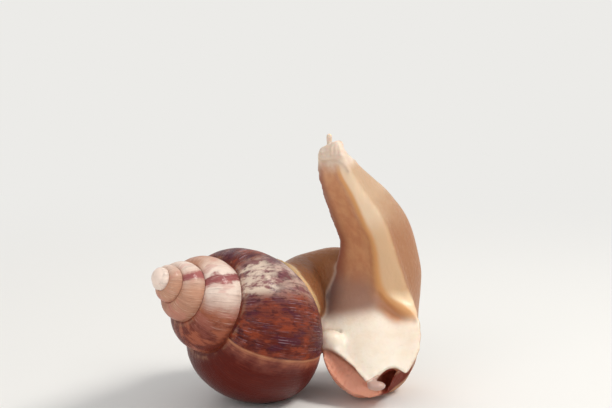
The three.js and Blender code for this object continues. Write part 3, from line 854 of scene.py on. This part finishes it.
# The head's skin wrinkles both ways: folds run down from between the feelers,
# evenly round the face, and creases run across it at and below the mouth.
FOLD_DEGREES = (-84, -62, -40)
FOLD_STATIONS = (3.6, 2.8, 2.1)
FOLD_STROKE = (-0.26, 0.45)
CREASE_STATIONS = (2.3, 1.8, 1.3)
CREASE_STROKES = ((-0.5, 0.55), (0.35, 0.55), (-0.3, 0.5))
CREASE_DEGREES = (-125, -105, -85)
HEAD_STROKES = [
    (*FOLD_STROKE, [(station, degrees) for station in FOLD_STATIONS])
    for degrees in FOLD_DEGREES
] + [
    (*stroke, [(station, degrees) for degrees in CREASE_DEGREES])
    for station, stroke in zip(CREASE_STATIONS, CREASE_STROKES)
]
STROKE_POINTS = 60

def on_sole(line):
    """Points of the sole for stations and shares across it."""
    return sole_point(line[:, 0], line[:, 1], np.ones(len(line)))

def on_head(line):
    """Points of the head for its stations and degrees round it."""
    front = along(HEAD, line[:, 0])[:, SOLE]
    return back_points(HEAD, line[:, 0], line[:, 1] * DEG, front)

move_points(skin_mesh, skin_points)
normals = np.empty(len(skin_points) * 3, np.float32)
skin_mesh.vertices.foreach_get("normal", normals)
skin_tree = search_tree(skin_points)
push = np.zeros(len(skin_points))
for strokes, surface in ((SOLE_STROKES, on_sole), (HEAD_STROKES, on_head)):
    for depth, reach, line in strokes:
        fine = along(np.array(line), np.linspace(0, len(line) - 1, STROKE_POINTS))
        line_tree = search_tree([skin_tree.find(place)[0] for place in surface(fine) + SHIFT])
        distance = np.array([line_tree.find(point)[2] for point in skin_points])
        push += depth * np.exp(-((distance / reach) ** 2))
skin_points = skin_points + normals.reshape(-1, 3) * push[:, None]
print("tools moved the skin by up to", round(float(np.abs(push).max()), 2), "mm")

# %% Finish the skin's mesh
skin_points[:, 2] = np.maximum(skin_points[:, 2], 0)
keep_values(skin_mesh, skin_values)
move_points(skin_mesh, skin_points)
skin_mesh.name = "skin"
skin = stand("skin", skin_mesh)
flesh = [name for name in frame["nodes"] if name != "shell" and not name.startswith("eye")]
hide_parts(*flesh)
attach(skin, "root")

# %% [markdown]
# Each eye is a dark bead, half sunk in the tip of an upper feeler.

# %% Eyes
EYE_SQUEEZE = 0.85
EYE_SINK = 0.45

eyes = []
for name, (foot, points_to, length, _, _) in zip(("eye_left", "eye_right"), FEELERS):
    low, high = (np.array(corner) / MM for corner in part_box(name))
    halves = (high - low) / 2 * EYE_SQUEEZE
    middle = (low + high) / 2 - unit(np.array(points_to, float)) * EYE_SINK
    bead = ellipsoid(middle, halves).reshape(-1, 3)
    eye = mesh_object(name + "_bead", bead, capped(BEAD_RINGS, BEAD_SIDES), {})
    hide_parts(name)
    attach(eye, "root")
    eyes.append(eye)
print("eyes:", len(eyes))

# %% [markdown]
# Every finish is worked out by nodes from the values kept on the meshes. A
# small class wraps a socket and lets shader maths be written as ordinary sums,
# and one method makes every kind of node.

# %% A pen for shader maths
class Wire:
    """An output socket that can be used in sums."""

    def __init__(self, finish, socket):
        self.finish = finish
        self.socket = socket

    def maths(self, operation, *values):
        return self.finish.node("ShaderNodeMath", {"operation": operation}, dict(enumerate(values)))

    def __add__(self, other):
        return self.maths("ADD", self, other)

    def __sub__(self, other):
        return self.maths("SUBTRACT", self, other)

    def __rsub__(self, other):
        return self.maths("SUBTRACT", other, self)

    def __mul__(self, other):
        return self.maths("MULTIPLY", self, other)

    def __truediv__(self, other):
        return self.maths("DIVIDE", self, other)

    __radd__ = __add__
    __rmul__ = __mul__

    def exp(self):
        return self.maths("EXPONENT", self)

    def most(self, other):
        return self.maths("MAXIMUM", self, other)

    def between(self, low, high):
        """0 below low, 1 above high, and smooth in between."""
        settings = {"interpolation_type": "SMOOTHSTEP"}
        return self.finish.node("ShaderNodeMapRange", settings, {0: self, 1: low, 2: high, 3: 0.0, 4: 1.0})

def paint(red, green, blue):
    """A colour given as it looks on a screen, 0 to 255, as the shader wants it."""
    screen = np.array([red, green, blue]) / 255
    linear = np.where(screen <= 0.04045, screen / 12.92, ((screen + 0.055) / 1.055) ** 2.4)
    return (*linear.tolist(), 1.0)

class Finish:
    """The nodes of a material or a world, with short ways to write them."""

    def __init__(self, owner):
        owner.use_nodes = True
        self.owner = owner
        self.tree = owner.node_tree
        self.shader = self.tree.nodes.get("Principled BSDF") or self.tree.nodes["Background"]

    def node(self, kind, settings=None, values=None, output=0):
        made = self.tree.nodes.new(kind)
        for key, value in (settings or {}).items():
            if key == "stops":
                self.set_stops(made.color_ramp, value)
            else:
                setattr(made, key, value)
        for key, value in (values or {}).items():
            self.feed(made.inputs[key], value)
        return Wire(self, made.outputs[output])

    def feed(self, socket, value):
        if isinstance(value, Wire):
            self.tree.links.new(value.socket, socket)
        else:
            socket.default_value = value

    def set_stops(self, ramp, stops):
        while len(ramp.elements) < len(stops):
            ramp.elements.new(0.5)
        for element, (position, colour) in zip(ramp.elements, stops):
            element.position = position
            element.color = colour

    def kept(self, *names):
        """The values that the mesh keeps on its points under those names."""
        return [self.node("ShaderNodeAttribute", {"attribute_name": name}, output="Fac") for name in names]

    def vector(self, x, y, z):
        return self.node("ShaderNodeCombineXYZ", values={0: x, 1: y, 2: z})

    def place(self):
        return self.node("ShaderNodeTexCoord", output="Object")

    def squeezed(self, where, share):
        """The same place with its height scaled, so that what is drawn there stretches."""
        return self.node("ShaderNodeMapping", values={"Vector": where, "Scale": (1.0, 1.0, share)})

    def noise(self, where, scale, detail=2.0, roughness=0.5):
        values = {"Vector": where, "Scale": scale, "Detail": detail, "Roughness": roughness}
        return self.node("ShaderNodeTexNoise", values=values)

    def cells(self, where, scale):
        return self.node("ShaderNodeTexVoronoi", values={"Vector": where, "Scale": scale})

    def mix(self, share, first, second):
        return self.node("ShaderNodeMix", {"data_type": "RGBA"}, {0: share, 6: first, 7: second}, output=2)

    def layered(self, colour, layers):
        """Lays each layer's colour over what is there, as far as its share says."""
        for share, over in layers:
            colour = self.mix(share, colour, over)
        return colour

    def ramp(self, value, stops):
        return self.node("ShaderNodeValToRGB", {"stops": stops}, {0: value})

    def bump(self, height, depth, strength=1.0):
        return self.node("ShaderNodeBump", values={"Height": height, "Distance": depth, "Strength": strength})

    def set(self, **sockets):
        for name, value in sockets.items():
            self.feed(self.shader.inputs[name.replace("_", " ")], value)

# %% [markdown]
# The shell's colour was laid down line by line at the lip as the snail grew,
# so it changes along the tube: cream in the hatchling's whorls, tan with a few
# dark flames next, then dark maroon, and a clean red-brown since the last
# rest, painted lighter just past the rest as a broad sheen. A ramp along the
# growth lines holds that history. Noise stretched across the tube breaks it
# into growth streaks, and a greyish haze, partly worn shell and partly painted
# glints of light, lies over the older half of the last whorl.

# %% Shell finish
HISTORY_SPAN = LIP_TURN + 0.1 - FIRST_TURN
# The turns at which the lip's pale edge starts and is full.
PALE_LIP = (0.598, 0.608)
CREAM = paint(240, 220, 206)
BUFF = paint(210, 180, 168)
TAN = paint(198, 148, 122)
RUST = paint(156, 92, 68)
CHESTNUT = paint(118, 56, 44)
MAROON = paint(96, 36, 30)
OXBLOOD = paint(88, 24, 14)
FLAME = paint(156, 90, 90)
SHELL_HISTORY = (
    (-4.4, CREAM),
    (-3.4, CREAM),
    (-3.0, TAN),
    (-2.6, TAN),
    (-2.2, CREAM),
    (-2.0, TAN),
    (-1.5, RUST),
    (-1.25, TAN),
    (-1.15, CREAM),
    (-1.05, CREAM),
    (-0.95, RUST),
    (-0.85, CHESTNUT),
    (-0.4, MAROON),
    (-0.2, MAROON),
    (-0.14, BUFF),
    (-0.05, CHESTNUT),
    (0.05, OXBLOOD),
    (0.07, CHESTNUT),
)
# A flame is a dark band left by a short rest: its line and its half-width.
FLAMES = ((-2.1, 0.04), (-1.1, 0.03))
# The new growth since the last rest is oxblood. The lighter rust and chestnut just past the rest line are a
# painted sheen, a broad highlight along it.
NEW_GROWTH_AND_SHEEN = (
    (0.076, RUST),
    (0.09, CHESTNUT),
    (0.11, OXBLOOD),
    (0.5, OXBLOOD),
    (0.66, RUST),
)

finish = Finish(bpy.data.materials.new("shell"))
turn, across, line, inside = finish.kept("turn", "across", "line", "inside")
scale_of_growth = (line * math.log(RADIUS_GROWTH)).exp()
grown = scale_of_growth * ((WHORL_RADIUS + OVAL_HALF_WIDTH) / PITCH)
wide = across * scale_of_growth

def shell_noise(growing, crossing, seed, detail=3.0, roughness=0.6):
    """Noise on the unrolled tube, finer where growing and crossing are larger."""
    return finish.noise(finish.vector(grown * growing, wide * crossing, seed), 1.0, detail, roughness)

streaks = shell_noise(0.85, 2.0, 0.0)
fine_streaks = shell_noise(2.8, 3.0, 3.0, 3.0, 0.65)
wide_patches = shell_noise(0.16, 4.0, 6.0)
mottle = shell_noise(0.30, 3.4, 9.0, 4.0, 0.62)
specks = shell_noise(0.9, 8.0, 12.0)
glints = shell_noise(3.2, 1.6, 15.0)
clouds = shell_noise(0.22, 2.2, 18.0, 3.0, 0.55)
growth_lines = shell_noise(2.2, 1.0, 1.0, 4.0, 0.65)
shifted = line + (streaks - 0.5) * 0.035 + (wide_patches - 0.5) * 0.07

def history(stops):
    """The paints of the stops, laid along the growth lines."""
    return finish.ramp((shifted - FIRST_TURN) / HISTORY_SPAN,
                       [((t - FIRST_TURN) / HISTORY_SPAN, colour) for t, colour in stops])

def flame(middle, reach):
    """1 in the middle of a flame, and 0 outside it."""
    starts = shifted.between(middle - reach, middle - reach / 3)
    return starts * (1 - shifted.between(middle + reach / 3, middle + reach))

newest = line.between(REST_LINE - 0.002, REST_LINE + 0.002)
rest_mark = line.between(REST_LINE - 0.003, REST_LINE + 0.001)
rest_mark = rest_mark * (1 - line.between(REST_LINE + 0.002, REST_LINE + 0.010))
adult = line.between(-0.75, -0.2) * (1 - newest)
young = 1 - line.between(-0.98, -0.80)
warm = line.between(-1.0, -0.9) * (1 - line.between(-0.6, -0.4))
seam = 1 - (across + (specks - 0.5) * 0.05).between(0.005, 0.045)
below_seam = across.between(0.03, 0.07) * (1 - across.between(0.07, 0.16))
pale = line.between(-0.20, -0.16) * (1 - line.between(-0.09, -0.06))
cream = pale * mottle.between(0.42, 0.58) * (1 - across.between(0.45, 0.8) * 0.8)
embers = clouds.between(0.50, 0.60) * adult * (1 - pale)
plum = clouds.between(0.48, 0.40) * adult
dark_flecks = specks.between(0.47, 0.36) * adult * (1 - cream)
# A greyish haze on the last whorl: worn patches, flecked with painted glints of light along the growth lines.
bloom_and_glints = wide_patches.between(0.46, 0.60) * adult * glints.between(0.53, 0.66)
streak_light = finish.mix(young, paint(150, 70, 52), paint(246, 222, 204))
colour = finish.layered(history(SHELL_HISTORY), [
    *((flame(middle, reach), FLAME) for middle, reach in FLAMES),
    (newest, history(NEW_GROWTH_AND_SHEEN)),
    (streaks.between(0.50, 0.72) * (0.18 + 0.5 * adult), paint(66, 14, 20)),
    (fine_streaks.between(0.54, 0.72) * (0.25 + 0.25 * young), streak_light),
    (fine_streaks.between(0.46, 0.30) * (0.45 - 0.2 * young), paint(84, 28, 20)),
    (embers * mottle.between(0.35, 0.55) * 0.75, paint(146, 64, 38)),
    (plum * 0.6, paint(72, 24, 46)),
    (cream * 0.85, paint(226, 206, 186)),
    (pale * mottle.between(0.50, 0.38) * 0.7, paint(118, 60, 70)),
    (dark_flecks * 0.5, paint(50, 12, 24)),
    (bloom_and_glints * 0.5, paint(176, 142, 150)),
    (clouds.between(0.46, 0.58) * warm * 0.55, paint(190, 110, 80)),
    (mottle.between(0.48, 0.36) * warm * 0.6, paint(96, 36, 28)),
    (clouds.between(0.50, 0.38) * young * 0.35, paint(198, 122, 112)),
    (below_seam * wide_patches.between(0.4, 0.6) * 0.3, paint(200, 150, 116)),
    (rest_mark * streaks.between(0.3, 0.7) * 0.8, paint(196, 136, 98)),
    (seam * 0.6, paint(124, 64, 44)),
    (turn.between(*PALE_LIP), paint(232, 206, 164)),
    (inside.between(0.2, 0.7), paint(232, 218, 204)),
])

height = growth_lines * 0.8 + fine_streaks * 0.35 + mottle * 0.35 * adult
normal = finish.bump(height * (1 - 0.65 * newest) * (1 - inside), 0.0004)
rough = 0.30 + 0.22 * adult * mottle + 0.12 * young
glossy = 0.10 + 0.15 * young + 0.30 * glints.between(0.45, 0.65) * adult
glossy = glossy + 0.25 * newest * (1 - line.between(0.09, 0.12))
finish.set(Base_Color=colour, Roughness=rough, Normal=normal, Specular_IOR_Level=0.06,
           Coat_Weight=glossy, Coat_Roughness=0.16)
shell.data.materials.append(finish.owner)

# %% [markdown]
# Snail flesh is milky: light goes a little way in and comes out warmer. So the
# shader has some subsurface light, under a thin wet coat. The raised sole is
# peach-brown, darkened with painted shade, most to the left, and a yellow border
# along its ridge is painted as light shining through the thin margin. The seat
# is cream, painted near white as if in sunlight, and the ridge's far side is
# cream. The belly is painted a pinkish red-brown as shade, and the little hollow
# under the tail is painted dark as shade. Fine bumps cover the back.

# %% Skin finish
finish = Finish(bpy.data.materials.new("skin"))
sole, station, beside, right, raised = finish.kept("sole", "station", "beside", "right", "raised")
belly, knob, cavity, mantle, stalk = finish.kept("belly", "knob", "cavity", "mantle", "stalk")
place = finish.place()
blotches = finish.noise(place, 90.0, 4.0, 0.6)
veins = finish.noise(place, 260.0, 3.0, 0.6)
spot = finish.noise(place, 700.0, 2.0, 0.5)

# The lower flank is painted darker, as the shade that the foot's margin casts on it, and less so towards the
# outline.
lower_flank_shade = 1 - (station + (blotches - 0.5) * 1.2).between(8.0, 9.9)
back_colour = finish.layered(paint(192, 154, 120), [
    (blotches, paint(206, 176, 146)),
    (lower_flank_shade * 0.9, paint(164, 110, 74)),
    ((1 - right.between(0.2, 0.85)) * lower_flank_shade * 0.5, paint(190, 138, 98)),
    # The left side of the back is painted darker, as shade.
    (1 - right.between(-0.6, 0.1), paint(150, 98, 74)),
    (spot.between(0.5, 0.75) * 0.08, paint(224, 190, 156)),
    # The belly's pinkish red-brown is painted shade, warmed by light coming through the flesh.
    (belly * (1 - right.between(-0.4, 0.5)) * 0.85, paint(234, 162, 134)),
])

shaded_zone = (1 - station.between(6.0, 7.6)) * (1 - right.between(0.0, 0.5))
# Painted shade under the ridge's flap, where the sole turns down.
under_flap_shade = (1 - station.between(5.4, 6.2)) * right.between(0.1, 0.5)
# The sole's left edge is painted darker, as shade.
left_edge_shade = finish.mix(station.between(6.0, 7.5), paint(122, 92, 86), paint(146, 82, 62))
band_colour = finish.layered(paint(222, 184, 144), [
    (station.between(8.2, 9.4), paint(240, 212, 180)),
    (1 - station.between(5.2, 6.2), paint(240, 212, 176)),
])
# The raised sole's peach-brown is its own tone darkened with painted shade.
raised_colour_shaded = finish.layered(paint(198, 136, 98), [
    (veins.between(0.3, 0.7), paint(210, 154, 112)),
    (shaded_zone * 0.8, paint(168, 130, 114)),
    (1 - right.between(-1.0, -0.45), left_edge_shade),
    (under_flap_shade * 0.7, paint(192, 132, 90)),
    # The yellow border along the ridge is painted light shining through the thin margin.
    (beside.between(-0.30, -0.04) * 0.85, paint(228, 172, 114)),
    (beside.between(-0.04, 0.12), band_colour),
])
# The seat's near-white cream is its own tone brightened with painted sunlight.
seat_colour_sunlit = finish.layered(paint(250, 238, 222), [
    (blotches.between(0.35, 0.65), paint(244, 228, 208)),
    (spot.between(0.60, 0.75) * 0.2, paint(224, 200, 174)),
])

head = (station + (veins - 0.5) * 0.5).between(11.2, 12.7)
# Painted shade in the crease where the knob meets the seat.
knob_crease_shade = knob.between(0.02, 0.2) * (1 - knob.between(0.25, 0.5))
# The hollow under the tail and its wall are painted dark, as shade.
hollow = cavity.between(0.0, 0.6)
colour = finish.layered(back_colour, [
    (sole, finish.mix(raised, seat_colour_sunlit, raised_colour_shaded)),
    (head, finish.mix(veins.between(0.3, 0.7), paint(222, 198, 178), paint(236, 218, 200))),
    (mantle.between(0.35, 0.65), paint(212, 176, 130)),
    # The stalk's amber tone is darkened with painted shade, as it lies behind the shell.
    (stalk * 0.9, finish.mix(blotches, paint(122, 72, 38), paint(158, 104, 66))),
    (knob.between(0.2, 0.8), paint(190, 158, 146)),
    (knob_crease_shade * 0.6, paint(196, 126, 88)),
    (hollow, paint(112, 34, 12)),
])

granules = finish.cells(finish.squeezed(place, 0.7), 900.0)
ripples = finish.noise(finish.squeezed(place, 0.35), 500.0, 3.0)
height = (1 - granules) * (1 - sole * 0.85) * (0.7 - 0.4 * head) + ripples * (0.8 - 0.4 * sole) + veins * 0.5
normal = finish.bump(height, 0.00038, 0.8)
rough = 0.46 - 0.10 * sole + 0.10 * (veins - 0.5) + 0.35 * hollow
finish.set(Base_Color=colour, Roughness=rough, Normal=normal, Specular_IOR_Level=0.3,
           Subsurface_Weight=0.25, Subsurface_Radius=(1.0, 0.45, 0.25), Subsurface_Scale=0.002,
           Coat_Weight=0.12 * (1 - hollow), Coat_Roughness=0.2)
skin.data.materials.append(finish.owner)

# %% Eye finish
finish = Finish(bpy.data.materials.new("eye"))
speckle = finish.noise(finish.place(), 4000.0)
finish.set(Base_Color=finish.mix(speckle, paint(30, 22, 20), paint(70, 52, 44)), Roughness=0.12)
for eye in eyes:
    eye.data.materials.append(finish.owner)

# %% [markdown]
# Soft studio light, a pale floor, and a camera with a long lens. The camera
# stands half a metre away and looks down by ten degrees, at the middle of the
# raised body.

# %% Floor, light and camera
SENSOR_WIDTH = 36
LENS_LENGTH = 91.1765
VIEW_DISTANCE = 0.5
VIEW_DOWN = 10 * DEG
AIM_HEIGHT = 0.0675
AIM_LOWER = 0.0035
FLOOR_HALF = 3.0

camera_data = bpy.data.cameras.new("camera")
camera_data.sensor_width = SENSOR_WIDTH
camera_data.lens = LENS_LENGTH
camera = stand("camera", camera_data)
aim = Vector((SHIFT[0] * MM, SHIFT[1] * MM, AIM_HEIGHT))
camera.location = aim + VIEW_DISTANCE * Vector((0, -math.cos(VIEW_DOWN), math.sin(VIEW_DOWN)))
look = aim - Vector((0, 0, AIM_LOWER)) - camera.location
camera.rotation_euler = look.to_track_quat("-Z", "Y").to_euler()
bpy.context.scene.camera = camera

floor_mesh = bpy.data.meshes.new("floor")
corners = [(-FLOOR_HALF, -FLOOR_HALF, 0), (FLOOR_HALF, -FLOOR_HALF, 0),
           (FLOOR_HALF, FLOOR_HALF, 0), (-FLOOR_HALF, FLOOR_HALF, 0)]
floor_mesh.from_pydata(corners, [], [(0, 1, 2, 3)])
floor = stand("floor", floor_mesh)

# %% [markdown]
# Close to the snail the floor is an ordinary pale surface that takes a shadow.
# Further off it fades into a plain glow, which only the camera and clear or
# shiny things see, so that the background is even and adds no light.

# %% Floor finish
NEAR_FLOOR = 0.10
FAR_FLOOR = 0.42
SKY_LIGHT = 0.5
PALE = paint(236, 235, 232)

def seen_directly(finish):
    """1 where the camera looks, straight or through glass or in a reflection."""
    path = finish.node("ShaderNodeLightPath").socket.node
    straight, shiny, clear = (Wire(finish, path.outputs[name])
                              for name in ("Is Camera Ray", "Is Glossy Ray", "Is Transmission Ray"))
    return straight.most(shiny).most(clear)

def backed(finish, kind, share, output):
    """Puts a plain pale glow in the finish's place, as far as share says."""
    glow = finish.node(kind, values={"Color": PALE, "Strength": 1.0})
    plain = Wire(finish, finish.shader.outputs[0])
    both = finish.node("ShaderNodeMixShader", values={0: share, 1: plain, 2: glow})
    finish.feed(finish.tree.nodes[output].inputs["Surface"], both)

finish = Finish(bpy.data.materials.new("floor"))
finish.set(Base_Color=PALE, Roughness=0.85)
away = finish.node("ShaderNodeVectorMath", {"operation": "LENGTH"}, {0: finish.place()}, output="Value")
far = away.between(NEAR_FLOOR, FAR_FLOOR)
backed(finish, "ShaderNodeEmission", far * seen_directly(finish), "Material Output")
floor.data.materials.append(finish.owner)

def lamp(name, place, size, watts, colour):
    """A square soft light that faces the model."""
    data = bpy.data.lights.new(name, "AREA")
    data.shape = "SQUARE"
    data.size = size
    data.energy = watts
    data.color = colour
    thing = stand(name, data)
    thing.location = place
    towards = Vector((0, 0, AIM_HEIGHT / 2)) - thing.location
    thing.rotation_euler = towards.to_track_quat("-Z", "Y").to_euler()

lamp("key", (0.60, -0.15, 0.80), 0.30, 6.0, (1.0, 0.97, 0.92))
lamp("fill", (-0.5, -0.9, 0.45), 0.9, 3.0, (0.97, 0.98, 1.0))
lamp("back", (-0.3, 0.8, 0.7), 0.5, 1.3, (1.0, 1.0, 1.0))

finish = Finish(bpy.data.worlds.new("studio"))
bpy.context.scene.world = finish.owner
finish.set(Color=(1.0, 1.0, 1.0, 1.0), Strength=SKY_LIGHT)
backed(finish, "ShaderNodeBackground", seen_directly(finish), "World Output")
bpy.context.scene.view_settings.view_transform = "Standard"

# %% Update the scene
bpy.context.view_layer.update()
